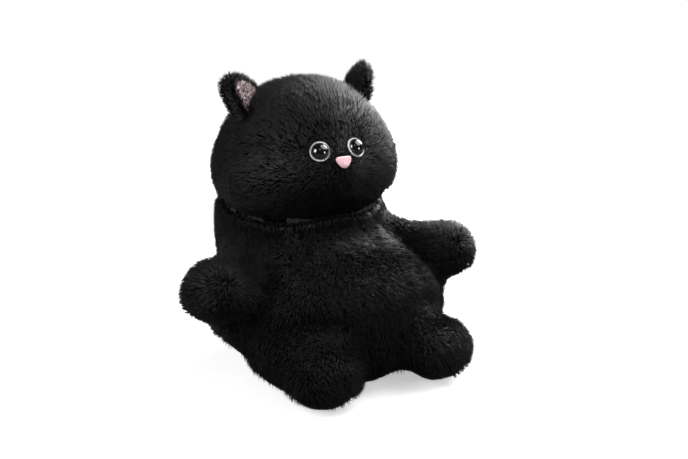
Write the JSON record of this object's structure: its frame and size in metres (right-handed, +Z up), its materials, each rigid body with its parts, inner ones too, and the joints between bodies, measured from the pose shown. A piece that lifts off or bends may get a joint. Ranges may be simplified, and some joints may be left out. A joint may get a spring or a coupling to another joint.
{
  "type": "plush cat",
  "caption": "Sitting plush cat of long black fur fabric with round paws and feet, domed plastic eyes, a pink nose and pink-lined ears.",
  "frame": {"origin": "middle of the toy on the surface that it sits on", "axes": "+Z up, the cat faces -Y and its own left side is +X"},
  "size_m": [0.2676, 0.2368, 0.2458],
  "materials": {
    "black_fur": "long-pile black fur fabric",
    "fibre_fill": "loose white polyester fibre",
    "pellet_bag": "woven cotton bag full of plastic pellets",
    "pink_plush": "short pink plush",
    "nose_flock": "flocked pink plastic",
    "eye_black": "polished black plastic dome",
    "eye_white": "smooth white plastic ring",
    "washer": "moulded lock washer"
  },
  "bodies": {
    "torso": {"belly_panel": "black_fur", "left_back_panel": "black_fur", "right_back_panel": "black_fur", "seat_panel": "black_fur", "pellet_bag": "pellet_bag", "torso_stuffing": "fibre_fill"},
    "neck": {"neck_stuffing": "fibre_fill"},
    "head": {"left_eye_ring": "eye_white", "left_eye": "eye_black", "left_eye_washer": "washer", "right_eye_ring": "eye_white", "right_eye": "eye_black", "right_eye_washer": "washer", "nose": "nose_flock", "nose_washer": "washer", "face_panel": "black_fur", "muzzle_panel": "black_fur", "left_head_panel": "black_fur", "right_head_panel": "black_fur", "head_stuffing": "fibre_fill"},
    "left_ear": {"left_ear_back": "black_fur", "left_ear_lining": "pink_plush"},
    "right_ear": {"right_ear_back": "black_fur", "right_ear_lining": "pink_plush"},
    "left_arm": {"left_arm_top_panel": "black_fur", "left_arm_under_panel": "black_fur", "left_arm_stuffing": "fibre_fill"},
    "right_arm": {"right_arm_top_panel": "black_fur", "right_arm_under_panel": "black_fur", "right_arm_stuffing": "fibre_fill"},
    "left_leg": {"left_leg_top_panel": "black_fur", "left_leg_sole_panel": "black_fur", "left_leg_stuffing": "fibre_fill"},
    "right_leg": {"right_leg_top_panel": "black_fur", "right_leg_sole_panel": "black_fur", "right_leg_stuffing": "fibre_fill"},
    "tail": {"tail_top_panel": "black_fur", "tail_under_panel": "black_fur", "tail_stuffing": "fibre_fill"}
  },
  "joints": [
    {"name": "neck_turn", "type": "hinge", "parent": "torso", "child": "neck", "pos_m": [0, 0.02443, 0.178], "axis": [0, 0, 1], "range_deg": [-25, 25], "stiffness_Nm_per_rad": 0.9},
    {"name": "head_nod", "type": "hinge", "parent": "neck", "child": "head", "pos_m": [0, 0.02443, 0.178], "axis": [1, 0, 0], "range_deg": [-12, 12], "stiffness_Nm_per_rad": 1.6},
    {"name": "left_ear_fold", "type": "hinge", "parent": "head", "child": "left_ear", "pos_m": [0.04614, 0.02643, 0.21276], "axis": [0.1473, 0.9848, -0.092], "range_deg": [-15, 15], "stiffness_Nm_per_rad": 0.02},
    {"name": "right_ear_fold", "type": "hinge", "parent": "head", "child": "right_ear", "pos_m": [-0.04614, 0.02643, 0.21276], "axis": [0.6302, 0.6691, 0.3938], "range_deg": [-15, 15], "stiffness_Nm_per_rad": 0.02},
    {"name": "left_arm_swing", "type": "hinge", "parent": "torso", "child": "left_arm", "pos_m": [0.058, 0.01043, 0.099], "axis": [-0.6606, -0.7507, 0], "range_deg": [-10, 30], "stiffness_Nm_per_rad": 0.35},
    {"name": "right_arm_swing", "type": "hinge", "parent": "torso", "child": "right_arm", "pos_m": [-0.058, 0.01043, 0.099], "axis": [-0.6606, 0.7507, 0], "range_deg": [-10, 30], "stiffness_Nm_per_rad": 0.35},
    {"name": "left_leg_lift", "type": "hinge", "parent": "torso", "child": "left_leg", "pos_m": [0.048, -0.03557, 0.03], "axis": [-0.9778, -0.2095, 0], "range_deg": [0, 15], "stiffness_Nm_per_rad": 0.6},
    {"name": "right_leg_lift", "type": "hinge", "parent": "torso", "child": "right_leg", "pos_m": [-0.048, -0.03557, 0.03], "axis": [-0.9975, -0.0712, 0], "range_deg": [0, 15], "stiffness_Nm_per_rad": 0.6},
    {"name": "tail_lift", "type": "hinge", "parent": "torso", "child": "tail", "pos_m": [0, 0.05043, 0.022], "axis": [0.9308, -0.3657, 0], "range_deg": [0, 20], "stiffness_Nm_per_rad": 0.15}
  ]
}
